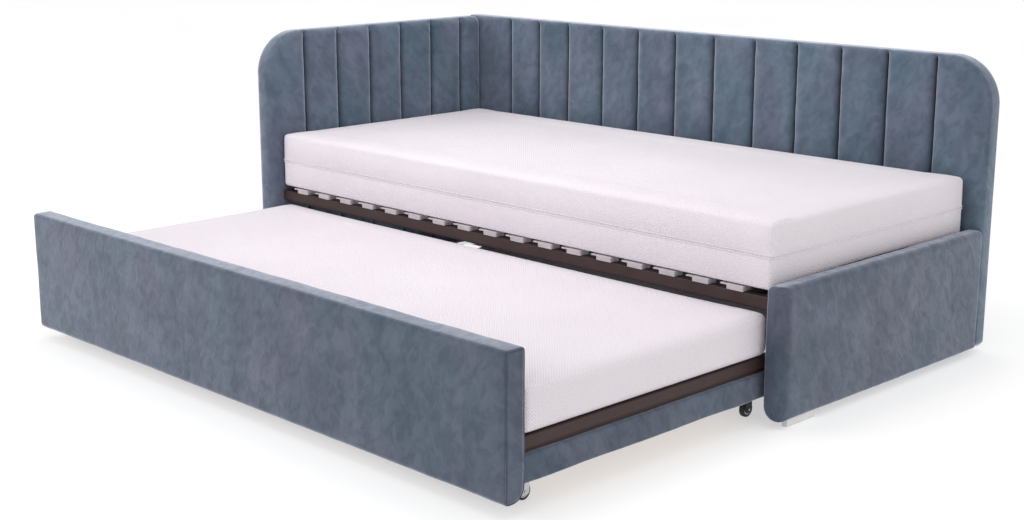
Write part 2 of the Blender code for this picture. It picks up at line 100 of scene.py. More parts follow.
# A sewn seam round a board's end: (distance along, inset beyond the end radius).
SEWN_EDGE = ((0.0006, 0.0085), (0.0, 0.0045), (0.0006, 0.0022), (0.0032, 0.0010), (0.0034, 0.0004))
SEWN_SHOULDER = (0.0014, 0.70)

# Steel rails.
RAIL_STEP_HEIGHT = 0.011
BED_RAIL_STEP = 0.006
RAIL_STEP_DEPTH = 0.007
RAIL_EDGE = 0.0015
RAIL_SPACING = 0.25

# Slats and their caps.
CAP_HEIGHT = 0.0153
CAP_LENGTH = 0.036
CAP_WIDTH = 0.053
CAP_TONGUE = 0.022
CAP_TONGUE_LAP = 0.004
CAP_TONGUE_THICKNESS = 0.004
CAP_INSET = 0.002
BOARD_THICKNESS = 0.008
BOARD_WIDTH = 0.050
BOARD_EDGE = 0.003
BOARD_END_GAP = 0.004
BOARD_SEAT = 0.0025
SLAT_SPACING = 0.045

# Casters.
WHEEL_SIDES = 40
WHEEL_BORE = 0.0038

# Mattresses.
MATTRESS_EDGE = 0.012
MATTRESS_CELL = 0.022
SWELL_CAP = 0.006
SWELL_PRESSURE = 4.0
SWELL_FRAMES = 20
COVER_INSET = 0.001
HELD_REACH = 0.004
SEAM_ROWS = (-0.006, -0.0015, 0.0015, 0.006)
TOP_RISE = 0.004
WELT_RADIUS = 0.0020
WELT_OFFSET = 0.0030
WELT_OUTSET = 0.0004
TRUNDLE_EDGE = 0.022
TICKING_PITCH = 0.017
UPPER_SPREAD = 0.008
LABEL_OFFSET = -0.070
LABEL_WIDTH = 0.062
LABEL_DEPTH = 0.018
LABEL_CURL = 0.0028
UPPER_SAG = 0.013

# The part of the floor under the rear of the bed that has no glow, and the width of its soft edge.
BAY_DEPTH = 0.38
BAY_SOFT = 0.02

# Camera, solved from the bed's own corners.
CAMERA_PLACE = (3.3105, -3.1957, 1.3436)
CAMERA_LENS = 56.029
CAMERA_PAN = 0.80354
CAMERA_TILT = -0.23487
CAMERA_ROLL = -0.00211
CAMERA_SHIFT = (0.01687, 0.00289)


# ---------------------------------------------------------------- mesh tools


class Shape:
    """Vertices and faces gathered from several closed forms, each with a material index."""

    def __init__(self):
        self.points = []
        self.faces = []
        self.slots = []

    def add(self, points, faces, slot=0):
        base = len(self.points)
        self.points.extend(tuple(float(c) for c in point) for point in points)
        self.faces.extend([base + i for i in face] for face in faces)
        self.slots.extend([slot] * len(faces))

    def build(self, name, materials, flat_angle=None):
        mesh = bpy.data.meshes.new(name)
        mesh.from_pydata(self.points, [], self.faces)
        for finish in materials:
            mesh.materials.append(finish)
        mesh.polygons.foreach_set("material_index", self.slots)
        mesh.shade_smooth()
        if flat_angle is not None:
            mesh.set_sharp_from_angle(angle=math.radians(flat_angle))
        mesh.update()
        item = bpy.data.objects.new(name, mesh)
        bpy.context.scene.collection.objects.link(item)
        return item


def loft(rings, flip=False):
    """Faces that join closed rings of equal length, capped at both ends."""
    rings = [np.asarray(ring, float) for ring in rings]
    count = len(rings[0])
    points = np.concatenate(rings)
    faces = []
    for r in range(len(rings) - 1):
        for k in range(count):
            nxt = (k + 1) % count
            faces.append([r * count + k, r * count + nxt, (r + 1) * count + nxt, (r + 1) * count + k])
    faces.append(list(range(count))[::-1])
    faces.append([(len(rings) - 1) * count + k for k in range(count)])
    if flip:
        faces = [face[::-1] for face in faces]
    return points, faces


def steps(start, end, spacing):
    """Evenly spaced values from start to end, no further apart than spacing."""
    count = max(1, math.ceil(abs(end - start) / spacing))
    return [start + (end - start) * k / count for k in range(count + 1)]


def rounded_loop(width, height, radii, inset, spacing, arc_steps=6):
    """A rounded rectangle about its middle. Radii go from the (+, +) corner anticlockwise."""
    half_a = width / 2 - inset
    half_b = height / 2 - inset
    signs = ((1, 1), (-1, 1), (-1, -1), (1, -1))
    side_counts = (
        max(1, math.ceil(width / spacing)),
        max(1, math.ceil(height / spacing)),
    )
    loop = []
    corners = []
    for index, (sign_a, sign_b) in enumerate(signs):
        radius = max(radii[index] - inset, LEAST_RADIUS)
        centre = (sign_a * (half_a - radius), sign_b * (half_b - radius))
        angles = [(index + k / arc_steps) * QUARTER_TURN for k in range(arc_steps + 1)]
        corners.append([
            (centre[0] + radius * math.cos(angle), centre[1] + radius * math.sin(angle)) for angle in angles
        ])
    for index in range(4):
        arc = corners[index]
        last_a, last_b = arc[-1]
        next_a, next_b = corners[(index + 1) % 4][0]
        loop.extend(arc)
        cells = side_counts[index % 2]
        for k in range(1, cells):
            t = k / cells
            loop.append((last_a + (next_a - last_a) * t, last_b + (next_b - last_b) * t))
    return loop


def end_stations(length, radius, seam, spacing, cap_insets):
    """(distance along, inset) pairs of a soft slab: rolled ends, with a sewn seam round each end face."""
    if seam:
        start = [(along, radius + inset) for along, inset in SEWN_EDGE]
        start.append((SEWN_SHOULDER[0], radius * SEWN_SHOULDER[1]))
    else:
        start = [(0.0, radius + inset) for inset in cap_insets]
    first = 2 if seam else 0
    for k in range(first, BOARD_ROLLS + 1):
        angle = k * QUARTER_TURN / BOARD_ROLLS
        start.append((radius * (1 - math.cos(angle)) if k else 0.0, radius * (1 - math.sin(angle))))
    body = [(s, 0.0) for s in steps(radius, length - radius, spacing)[1:-1]]
    finish = [(length - s, inset) for s, inset in reversed(start)]
    return start + body + finish


def soft_slab(low, high, along, radii, end_radius, seam, spacing, cap_insets):
    """A long upholstered board: a rounded section in (across, z), lofted along x or y."""
    low = Vector(low)
    high = Vector(high)
    size = high - low
    middle = (low + high) / 2
    across = size.y if along == "x" else size.x
    length = size.x if along == "x" else size.y
    rings = []
    for place, inset in end_stations(length, end_radius, seam, spacing, cap_insets):
        loop = rounded_loop(across, size.z, radii, inset, spacing)
        if along == "x":
            rings.append([(low.x + place, middle.y + a, middle.z + b) for a, b in loop])
        else:
            rings.append([(middle.x + a, low.y + place, middle.z + b) for a, b in loop])
    return loft(rings, flip=(along == "y"))


def soft_box_lines(low, high, radius, spacing):
    """Grid lines across one side of a rounded box, closer together in its rounded edges."""
    start = [low + radius * k for k in EDGE_LINES]
    finish = [high - radius * k for k in reversed(EDGE_LINES)]
    return start + steps(low + radius, high - radius, spacing) + finish


def soft_box(low, high, radius, spacing, extra_z=()):
    """A box with rounded edges as an even grid of quads over its six sides."""
    low = np.asarray(low, float)
    high = np.asarray(high, float)
    lines = [soft_box_lines(low[i], high[i], radius, spacing) for i in range(3)]
    lines[2] = sorted(set(lines[2]) | set(extra_z))
    counts = [len(line) for line in lines]
    index = {}
    points = []

    def vertex(i, j, k):
        key = (i, j, k)
        if key not in index:
            index[key] = len(points)
            raw = np.array([lines[0][i], lines[1][j], lines[2][k]])
            core = np.clip(raw, low + radius, high - radius)
            away = raw - core
            distance = np.linalg.norm(away)
            points.append(core + away / distance * radius if distance > TINY else raw)
        return index[key]

    def quad(*corners):
        faces.append([vertex(*corner) for corner in corners])

    faces = []
    nx, ny, nz = (count - 1 for count in counts)
    for i in range(nx):
        for j in range(ny):
            quad((i, j, 0), (i, j + 1, 0), (i + 1, j + 1, 0), (i + 1, j, 0))
            quad((i, j, nz), (i + 1, j, nz), (i + 1, j + 1, nz), (i, j + 1, nz))
    for i in range(nx):
        for k in range(nz):
            quad((i, 0, k), (i + 1, 0, k), (i + 1, 0, k + 1), (i, 0, k + 1))
            quad((i, ny, k), (i, ny, k + 1), (i + 1, ny, k + 1), (i + 1, ny, k))
    for j in range(ny):
        for k in range(nz):
            quad((0, j, k), (0, j, k + 1), (0, j + 1, k + 1), (0, j + 1, k))
            quad((nx, j, k), (nx, j + 1, k), (nx, j + 1, k + 1), (nx, j, k + 1))
    return points, faces


def turned(profile, centre, sides):
    """A closed profile of (x, radius) points turned about the X axis through the centre."""
    points = []
    for k in range(sides):
        angle = 2 * math.pi * k / sides
        for x, radius in profile:
            across = radius * math.cos(angle)
            up = radius * math.sin(angle)
            points.append((centre[0] + x, centre[1] + across, centre[2] + up))
    count = len(profile)
    faces = []
    for k in range(sides):
        nxt = (k + 1) % sides
        for m in range(count):
            after = (m + 1) % count
            faces.append([k * count + m, nxt * count + m, nxt * count + after, k * count + after])
    return points, faces


def face_outward(item):
    """Turn the faces of a closed piece outward."""
    shape = bmesh.new()
    shape.from_mesh(item.data)
    bmesh.ops.recalc_face_normals(shape, faces=shape.faces)
    shape.to_mesh(item.data)
    shape.free()


def ripple(item, height, scale, seed):
    """Push each vertex along its normal by smooth noise, in metres."""
    mesh = item.data
    moved = np.empty(len(mesh.vertices) * 3)
    for index, vert in enumerate(mesh.vertices):
        place = Vector((vert.co.x * scale[0], vert.co.y * scale[1], vert.co.z * scale[2] + seed))
        offset = height * noise.noise(place)
        moved[3 * index : 3 * index + 3] = vert.co + vert.normal * offset
    mesh.vertices.foreach_set("co", moved)
    mesh.update()


def smoothstep(low, high, value):
    t = min(max((value - low) / (high - low), 0.0), 1.0)
    return t * t * (3 - 2 * t)


# ---------------------------------------------------------------- materials


def node_material(name, roughness, **settings):
    material = bpy.data.materials.new(name)
    material.use_nodes = True
    tree = material.node_tree
    shader = tree.nodes["Principled BSDF"]
    shader.inputs["Roughness"].default_value = roughness
    for label, value in settings.items():
        shader.inputs[label.replace("_", " ")].default_value = value
    return material, tree, shader


def object_coordinates(tree, scale=(1.0, 1.0, 1.0), tilt=0.0):
    """Object coordinates times scale, or, with a tilt, turned and then drawn out by scale."""
    source = tree.nodes.new("ShaderNodeTexCoord")
    mapping = tree.nodes.new("ShaderNodeMapping")
    mapping.vector_type = "TEXTURE" if tilt else "POINT"
    mapping.inputs["Scale"].default_value = scale
    mapping.inputs["Rotation"].default_value = (tilt, tilt, 0.0)
    tree.links.new(source.outputs["Object"], mapping.inputs["Vector"])
    return mapping.outputs["Vector"]


def noise_texture(tree, vector, scale, detail=3.0, roughness=0.5, distortion=0.0):
    texture = tree.nodes.new("ShaderNodeTexNoise")
    texture.inputs["Scale"].default_value = scale
    texture.inputs["Detail"].default_value = detail
    texture.inputs["Roughness"].default_value = roughness
    texture.inputs["Distortion"].default_value = distortion
    tree.links.new(vector, texture.inputs["Vector"])
    return texture.outputs["Fac"]


def ramp(tree, factor, stops):
    """A colour ramp; stops are (position, colour)."""
    node = tree.nodes.new("ShaderNodeValToRGB")
    elements = node.color_ramp.elements
    while len(elements) < len(stops):
        elements.new(0.5)
    for element, (position, colour) in zip(elements, stops):
        element.position = position
        element.color = (*colour, 1.0)
    tree.links.new(factor, node.inputs["Fac"])
    return node.outputs["Color"]


def mix_colour(tree, factor, first, second, mode="MIX"):
    node = tree.nodes.new("ShaderNodeMix")
    node.data_type = "RGBA"
    node.blend_type = mode
    for socket, value in ((node.inputs[0], factor), (node.inputs[6], first), (node.inputs[7], second)):
        if isinstance(value, bpy.types.NodeSocket):
            tree.links.new(value, socket)
        elif socket == node.inputs[0]:
            socket.default_value = value
        else:
            socket.default_value = (*value, 1.0)
    return node.outputs[2]


def maths(tree, operation, first, second=0.0):
    node = tree.nodes.new("ShaderNodeMath")
    node.operation = operation
    for socket, value in zip(node.inputs, (first, second)):
        if isinstance(value, bpy.types.NodeSocket):
            tree.links.new(value, socket)
        else:
            socket.default_value = value
    return node.outputs[0]


def bump(tree, shader, height, strength, distance, previous=None):
    node = tree.nodes.new("ShaderNodeBump")
    node.inputs["Strength"].default_value = strength
    node.inputs["Distance"].default_value = distance
    tree.links.new(height, node.inputs["Height"])
    if previous is not None:
        tree.links.new(previous.outputs["Normal"], node.inputs["Normal"])
    tree.links.new(node.outputs["Normal"], shader.inputs["Normal"])
    return node


def velvet_material(name, dark, light):
    """Short-pile velvet: crushed patches, brushed smudges, a soft sheen, a fine nap, a painted sheen
    lightening the colour toward grazing view and painted shade darkening it in the seam creases.
    """
    material, tree, shader = node_material(
        name, 0.80,
        Sheen_Weight=0.40, Sheen_Roughness=0.36, Sheen_Tint=(0.70, 0.74, 0.88, 1.0), Specular_IOR_Level=0.12,
    )
    vector = object_coordinates(tree, (1.0, 1.0, 0.55))
    patches = noise_texture(tree, vector, 7.5, 4.0, 0.55, 0.8)
    streaked = object_coordinates(tree, (1.0, 1.0, 2.6), 0.62)
    smudges = noise_texture(tree, streaked, 36.0, 3.0, 0.58, 0.7)
    hue = noise_texture(tree, vector, 6.0, 2.0, 0.5, 0.3)
    crushed = bump(tree, shader, smudges, 0.30, 0.0045)
    nap = noise_texture(tree, vector, 950.0, 2.0, 0.6)
    bump(tree, shader, nap, 0.22, 0.0006, crushed)
    base = ramp(tree, patches, [(0.34, dark), (0.66, light)])
    tint = ramp(tree, hue, [(0.38, (0.91, 1.02, 1.02)), (0.62, (1.05, 0.98, 1.02))])
    coloured = mix_colour(tree, 1.0, base, tint, "MULTIPLY")
    marks = ramp(tree, smudges, [(0.36, (0.83, 0.84, 0.85)), (0.60, (1.06, 1.06, 1.06))])
    pile = mix_colour(tree, 1.0, coloured, marks, "MULTIPLY")
    # Painted sheen: the colour is mixed toward a light colour as the surface turns edge-on to the view.
    grazing = tree.nodes.new("ShaderNodeLayerWeight")
    grazing.inputs["Blend"].default_value = 0.5
    tree.links.new(crushed.outputs["Normal"], grazing.inputs["Normal"])
    painted_sheen_amount = maths(tree, "POWER", grazing.outputs["Facing"], 3.2)
    painted_sheen_colour = mix_colour(tree, 1.0, (0.560, 0.590, 0.670), marks, "MULTIPLY")
    # brushed holds the pile colour with the painted sheen mixed in.
    brushed = mix_colour(tree, painted_sheen_amount, pile, painted_sheen_colour)
    # Painted shade: the colour darkens toward the seam creases, by a per-vertex attribute set in
    # padded_panel.
    crease = tree.nodes.new("ShaderNodeAttribute")
    crease.attribute_name = "crease"
    shade = ramp(tree, crease.outputs["Fac"], [(0.0, (1.0, 1.0, 1.0)), (1.0, (0.30, 0.30, 0.34))])
    tree.links.new(mix_colour(tree, 1.0, brushed, shade, "MULTIPLY"), shader.inputs["Base Color"])
    return material


def lattice(tree, first, second, pitch):
    """A diamond lattice from two coordinates: ridges along both diagonals."""
    turn = 2 * math.pi / pitch
    rising = maths(tree, "SINE", maths(tree, "MULTIPLY", maths(tree, "ADD", first, second), turn))
    falling = maths(tree, "SINE", maths(tree, "MULTIPLY", maths(tree, "SUBTRACT", first, second), turn))
    return maths(tree, "MAXIMUM", maths(tree, "ABSOLUTE", rising), maths(tree, "ABSOLUTE", falling))


def ticking_material():
    """Off-white knitted ticking with a small diamond weave on every side."""
    material, tree, shader = node_material(
        "ticking", 0.88, Sheen_Weight=0.12, Sheen_Roughness=0.5, Specular_IOR_Level=0.22,
    )
    source = tree.nodes.new("ShaderNodeTexCoord")
    split = tree.nodes.new("ShaderNodeSeparateXYZ")
    facing = tree.nodes.new("ShaderNodeSeparateXYZ")
    tree.links.new(source.outputs["Object"], split.inputs[0])
    tree.links.new(source.outputs["Normal"], facing.inputs[0])
    x, y, z = split.outputs
    flat = lattice(tree, x, y, TICKING_PITCH)
    front = lattice(tree, x, z, TICKING_PITCH)
    side = lattice(tree, y, z, TICKING_PITCH)
    is_flat = maths(tree, "GREATER_THAN", maths(tree, "ABSOLUTE", facing.outputs[2]), 0.72)
    is_side = maths(tree, "GREATER_THAN", maths(tree, "ABSOLUTE", facing.outputs[0]), 0.72)
    weave = mix_colour(tree, is_side, front, side)
    weave = mix_colour(tree, is_flat, weave, flat)
    vector = object_coordinates(tree)
    cloud = noise_texture(tree, vector, 3.0, 3.0, 0.5)
    base = ramp(tree, cloud, [(0.30, (0.766, 0.708, 0.754)), (0.70, (0.800, 0.744, 0.790))])
    shade = ramp(tree, weave, [(0.20, (0.915, 0.905, 0.915)), (0.95, (1.0, 1.0, 1.0))])
    tree.links.new(mix_colour(tree, 1.0, base, shade, "MULTIPLY"), shader.inputs["Base Color"])
    knit = bump(tree, shader, weave, 0.75, 0.0020)
    yarn = noise_texture(tree, vector, 1100.0, 2.0, 0.6)
    bump(tree, shader, yarn, 0.18, 0.0004, knit)
    return material


def steel_material():
    """Dark brown powder coat: a fine orange-peel skin with slight dusting."""
    material, tree, shader = node_material("brown_coat", 0.50, Specular_IOR_Level=0.25)
    vector = object_coordinates(tree)
    dust = noise_texture(tree, vector, 14.0, 5.0, 0.65)
    base = ramp(tree, dust, [(0.30, (0.040, 0.022, 0.021)), (0.72, (0.058, 0.034, 0.033))])
    tree.links.new(base, shader.inputs["Base Color"])
    rough = ramp(tree, dust, [(0.30, (0.44, 0.44, 0.44)), (0.75, (0.60, 0.60, 0.60))])
    tree.links.new(rough, shader.inputs["Roughness"])
    bump(tree, shader, noise_texture(tree, vector, 620.0, 2.0, 0.5), 0.12, 0.0005)
    return material


def wood_material(name, dark, light):
    """Straight-grained wood, with the grain running along y."""
    material, tree, shader = node_material(name, 0.55, Specular_IOR_Level=0.35)
    vector = object_coordinates(tree, (34.0, 1.2, 34.0))
    grain = noise_texture(tree, vector, 3.0, 5.0, 0.62, 0.9)
    tree.links.new(ramp(tree, grain, [(0.32, dark), (0.68, light)]), shader.inputs["Base Color"])
    bump(tree, shader, grain, 0.20, 0.0008)
    return material


def moulded_material(name, dark, light, roughness):
    """Moulded plastic or rubber with a fine spark-eroded grain."""
    material, tree, shader = node_material(name, roughness, Specular_IOR_Level=0.40)
    vector = object_coordinates(tree)
    cloud = noise_texture(tree, vector, 22.0, 3.0, 0.6)
    tree.links.new(ramp(tree, cloud, [(0.30, dark), (0.70, light)]), shader.inputs["Base Color"])
    bump(tree, shader, noise_texture(tree, vector, 900.0, 2.0, 0.5), 0.15, 0.0004)
    return material


def zinc_material(name, dark, light):
    """Zinc plate with faint brushed marks."""
    material, tree, shader = node_material(name, 0.30, Metallic=0.95)
    vector = object_coordinates(tree, (1.0, 1.0, 14.0))
    brushed = noise_texture(tree, vector, 120.0, 4.0, 0.6)
    base = ramp(tree, brushed, [(0.30, dark), (0.70, light)])
    tree.links.new(base, shader.inputs["Base Color"])
    rough = ramp(tree, brushed, [(0.30, (0.24, 0.24, 0.24)), (0.70, (0.38, 0.38, 0.38))])
    tree.links.new(rough, shader.inputs["Roughness"])
    return material


# The tall panels' velvet is a lighter copy of the plain velvet: painted light standing in for the extra light
# that falls on them.
PANEL_VELVET_LIT_COPY = velvet_material("velvet_channelled", (0.086, 0.113, 0.150), (0.126, 0.153, 0.200))
VELVET = velvet_material("velvet_plain", (0.067, 0.083, 0.113), (0.101, 0.115, 0.152))
TICKING = ticking_material()
BROWN = steel_material()
FOIL = wood_material("slat_foil", (0.155, 0.132, 0.138), (0.225, 0.195, 0.202))
PINE = wood_material("pine_wood", (0.50, 0.34, 0.19), (0.66, 0.49, 0.31))
CAP_GREY = moulded_material("cap_plastic", (0.44, 0.40, 0.42), (0.52, 0.48, 0.50), 0.50)
NYLON = moulded_material("white_nylon", (0.66, 0.66, 0.65), (0.76, 0.76, 0.75), 0.50)
LABEL = moulded_material("label_tape", (0.86, 0.86, 0.86), (0.93, 0.93, 0.93), 0.80)
TYRE = moulded_material("tyre_rubber", (0.012, 0.012, 0.013), (0.026, 0.026, 0.028), 0.62)
HUB = moulded_material("hub_plastic", (0.52, 0.52, 0.55), (0.64, 0.64, 0.67), 0.35)
ZINC = zinc_material("zinc", (0.50, 0.50, 0.52), (0.66, 0.66, 0.68))
# A dark copy of the zinc for the rear caster forks: painted shade standing in for the shade they sit in.
REAR_ZINC_SHADED_COPY = zinc_material("black_zinc", (0.030, 0.030, 0.033), (0.060, 0.060, 0.065))


# ---------------------------------------------------------------- channelled panels


def head_seams(start, end):
    seams = [start + FIRST_HEAD_SEAM]
    while seams[-1] + NARROW_CHANNEL < end - NARROW_CHANNEL / 2:
        seams.append(seams[-1] + NARROW_CHANNEL)
    return seams


def back_seams(start, end):
    seams = [start + NARROW_CHANNEL * (k + 1) for k in range(NARROW_BACK_CHANNELS)]
    while seams[-1] + WIDE_CHANNEL < end - WIDE_CHANNEL:
        seams.append(seams[-1] + WIDE_CHANNEL)
    return seams


def channel_columns(low, high, seams, corner_low, corner_high):
    """Columns across a panel: close together at each seam and in the rounded corners."""
    columns = set()
    for seam in seams:
        columns.update(seam + offset * side for offset in SEAM_LINES for side in (-1, 1))
    edges = [low, *seams, high]
    for a, b in zip(edges, edges[1:]):
        columns.update(steps(a, b, COLUMN_SPACING) if a == low or b == high else [(a + b) / 2])
    columns.update(low + corner_low * k / CORNER_LINES for k in range(CORNER_LINES + 1))
    columns.update(high - corner_high * k / CORNER_LINES for k in range(CORNER_LINES + 1))
    kept = []
    for value in sorted(columns):
        if low - TINY <= value <= high + TINY and (not kept or value - kept[-1] > COLUMN_GAP):
            kept.append(value)
    kept[-1] = high
    return kept


def channel_rows(low, high, corner):
    """Rows up a panel: close together at its top, its bottom and its rounded corner."""
    rows = set(steps(low, high, ROW_SPACING))
    rows.update(high - offset for offset in TOP_LINES)
    rows.update(low + offset for offset in BOTTOM_LINES)
    rows.update(high - corner * k / CORNER_LINES for k in range(CORNER_LINES + 1))
    kept = []
    for value in sorted(rows):
        if not kept or value - kept[-1] > ROW_GAP:
            kept.append(value)
    kept[-1] = high
    return kept


def corner_mapped(u, v, low, high, radii):
    """Bend the square corners of a rectangle into round ones; radii are keyed by (side u, side v)."""
    for (side_u, side_v), radius in radii.items():
        centre_u = (high[0] - radius) if side_u > 0 else (low[0] + radius)
        centre_v = (high[1] - radius) if side_v > 0 else (low[1] + radius)
        a = (u - centre_u) * side_u / radius
        b = (v - centre_v) * side_v / radius
        if a > 0 and b > 0:
            round_a = a * math.sqrt(max(0.0, 1 - b * b / 2))
            round_b = b * math.sqrt(max(0.0, 1 - a * a / 2))
            return centre_u + side_u * round_a * radius, centre_v + side_v * round_b * radius
    return u, v


def channel_relief(u, v, top_gap, seams, low, high, seed):
    """How far the padded face lies behind its crown at one point, top_gap below the panel's top."""
    fade = smoothstep(*SEAM_TOP_FADE, top_gap)
    nearest = min(seams, key=lambda seam: abs(seam - u))
    distance = abs(nearest - u)
    edges = [low[0], *seams, high[0]]
    left = max(edge for edge in edges if edge <= u + TINY)
    right = min((edge for edge in edges if edge > left + TINY), default=high[0])
    across = (u - left) / max(right - left, 1e-6)
    seam_side = left in seams if across < 0.5 else right in seams
    crown = CHANNEL_CROWN * (2 * across - 1) ** 2 if seam_side else 0.0
    shoulder = max(0.0, 1 - distance / SHOULDER_WIDTH)
    pinch = 1 - math.sqrt(1 - min(shoulder, 0.9999) ** 2)
    gathers = noise.noise(Vector((nearest * 31, v * 38, seed)))
    pucker = PUCKER_HEIGHT * gathers * math.exp(-distance / PUCKER_REACH)
    soft = FACE_WAVE * noise.noise(Vector((u * 7, v * 4.5, seed + 5)))
    return fade * (SEAM_DEPTH * pinch + crown + pucker) + soft * smoothstep(0.0, WAVE_FADE, top_gap)


def outward(loop):
    """Unit normals of a closed anticlockwise loop, pointing out of it."""
    tangent = np.roll(loop, -1, axis=0) - np.roll(loop, 1, axis=0)
    normals = np.stack([tangent[:, 1], -tangent[:, 0]], axis=1)
    return normals / np.linalg.norm(normals, axis=1)[:, None]


def padded_panel(name, low, high, back, radius, outer_radius, seams, top_corner, place, seed):
    """A padded panel. low and high are its (along, up) corners; place maps (along, up, deep) to x, y, z."""
    low = np.array(low)
    high = np.array(high)

    def flattened(inset):
        first = low + inset
        last = high - inset
        radii = {corner: SMALL_CORNER for corner in ((-1, -1), (1, -1), (-1, 1), (1, 1))}
        radii[top_corner] = TOP_CORNER_RADIUS - inset
        points = []
        for u in columns:
            for v in rows:
                along = first[0] + (u - core_low[0]) * (last[0] - first[0]) / (core_high[0] - core_low[0])
                up = first[1] + (v - core_low[1]) * (last[1] - first[1]) / (core_high[1] - core_low[1])
                points.append(corner_mapped(along, up, first, last, radii))
        return np.array(points)

    core_low = low + radius
    core_high = high - radius
    corner = TOP_CORNER_RADIUS - radius
    corners = (corner, SMALL_CORNER) if top_corner[0] < 0 else (SMALL_CORNER, corner)
    columns = channel_columns(core_low[0], core_high[0], seams, *corners)
    rows = channel_rows(core_low[1], core_high[1], corner)
    across = len(columns)
    up = len(rows)
    front_face = flattened(radius)
    back_face = flattened(outer_radius)
    points = []
    painted_crease_shades = []
    # Each front point also gets its painted crease shade, strongest at a seam.
    for index, (u, v) in enumerate(front_face):
        gap = high[1] - v
        nearest = min(abs(seam - columns[index // up]) for seam in seams)
        painted_crease_shades.append(math.exp(-nearest / PAINTED_SHADE_REACH) * smoothstep(*SEAM_TOP_FADE, gap))
        deep = channel_relief(columns[index // up], v, gap, seams, core_low, core_high, seed)
        points.append(place(u, v, deep))
    for u, v in back_face:
        puff = REAR_WAVE * noise.noise(Vector((u * 6, v * 6, seed + 9)))
        margin = min(v - core_low[1], core_high[1] - v)
        points.append(place(u, v, back + puff * smoothstep(0.0, WAVE_FADE, margin)))
    faces = []
    shift = across * up
    for i in range(across - 1):
        for j in range(up - 1):
            a, b, c, d = i * up + j, (i + 1) * up + j, (i + 1) * up + j + 1, i * up + j + 1
            faces.append([a, b, c, d])
            faces.append([shift + d, shift + c, shift + b, shift + a])
    border = (
        [i * up for i in range(across - 1)]
        + [(across - 1) * up + j for j in range(up - 1)]
        + [i * up + up - 1 for i in range(across - 1, 0, -1)]
        + list(range(up - 1, 0, -1))
    )
    count = len(border)
    front_loop = front_face[border]
    back_loop = back_face[border]
    rolls = [k * QUARTER_TURN / EDGE_ROLLS for k in range(1, EDGE_ROLLS + 1)]
    rings = [(front_loop, radius * math.sin(a), radius * (1 - math.cos(a))) for a in rolls]
    rings.append((front_loop, radius, (radius + back - outer_radius) / 2))
    for a in reversed(rolls):
        rings.append((back_loop, outer_radius * math.sin(a), back - outer_radius * (1 - math.cos(a))))
    sources = [columns[index // up] for index in border]
    previous = border

    def join(first, second):
        for k in range(count):
            after = (k + 1) % count
            faces.append([first[k], second[k], second[after], first[after]])

    for loop, out, deep in rings:
        ring = list(range(len(points), len(points) + count))
        facing = max(0.0, 1 - deep / radius)
        for (u, v), (nu, nv), source in zip(loop, outward(loop), sources):
            v_out = v + nv * out
            dent = 0.0
            if facing > 0:
                gap = high[1] - v_out
                dent = facing * channel_relief(source, v, gap, seams, core_low, core_high, seed)
            points.append(place(u + nu * out, v_out, deep + dent))
        join(previous, ring)
        previous = ring
    join(previous, [shift + index for index in border])
    shape = Shape()
    shape.add(points, faces)
    item = shape.build(name, [PANEL_VELVET_LIT_COPY])
    face_outward(item)
    # Store the painted crease shade on the vertices for the velvet's colour.
    crease = item.data.attributes.new("crease", "FLOAT", "POINT")
    crease.data.foreach_set("value", painted_crease_shades + [0.0] * (len(points) - len(painted_crease_shades)))
    return item


def make_tall_panels():
    head_low, head_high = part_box("head_panel")
    pad_low, pad_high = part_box("head_pad")
    seams = head_seams(pad_low.y, pad_high.y)
    head = padded_panel(
        "head_upholstery",
        (pad_low.y, pad_low.z), (pad_high.y, pad_high.z),
        pad_high.x - head_low.x, HEAD_EDGE_RADIUS, HEAD_OUTER_RADIUS,
        seams, (-1, 1),
        lambda along, up, deep: (pad_high.x - deep, along, up), 3.0,
    )
    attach(head, "bed")
    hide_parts("head_panel", "head_pad")
    back_low, back_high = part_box("back_panel")
    front_low, front_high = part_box("back_pad")
    seams = back_seams(pad_high.x, back_high.x)
    back = padded_panel(
        "back_upholstery",
        (front_low.x, front_low.z), (front_high.x, front_high.z),
        back_high.y - front_low.y, BACK_EDGE_RADIUS, BACK_OUTER_RADIUS,
        seams, (1, 1),
        lambda along, up, deep: (along, front_low.y + deep, up), 11.0,
    )
    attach(back, "bed")
    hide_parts("back_panel", "back_pad")


# ---------------------------------------------------------------- plain upholstered boards


def rolled_corner(points, low, high, radius):
    """Round the upright corner of a board between its +X and -Y sides."""
    rolled = []
    for x, y, z in points:
        a = x - (high.x - radius)
        b = (low.y + radius) - y
        distance = math.hypot(a, b)
        if a > 0 and b > 0 and distance > radius:
            x = high.x - radius + a * radius / distance
            y = low.y + radius - b * radius / distance
        rolled.append((x, y, z))
    return rolled


def upholstered_board(
    name, node, body, along, radii, end_radius, seed,
    seam=False, spacing=BOARD_SPACING, cap_insets=(0.006,), corner=0.0,
):
    """A board covered in plain velvet, filling its CAD node's box."""
    low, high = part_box(node)
    shape = Shape()
    points, faces = soft_slab(low, high, along, radii, end_radius, seam, spacing, cap_insets)
    if corner:
        points = rolled_corner(points, low, high, corner)
    shape.add(points, faces)
    item = shape.build(name, [VELVET])
    face_outward(item)
    ripple(item, BOARD_WAVE, (9.0, 9.0, 9.0), seed)
    ripple(item, BOARD_GRAIN, (34.0, 34.0, 34.0), seed + 3)
    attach(item, body)
    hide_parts(node)


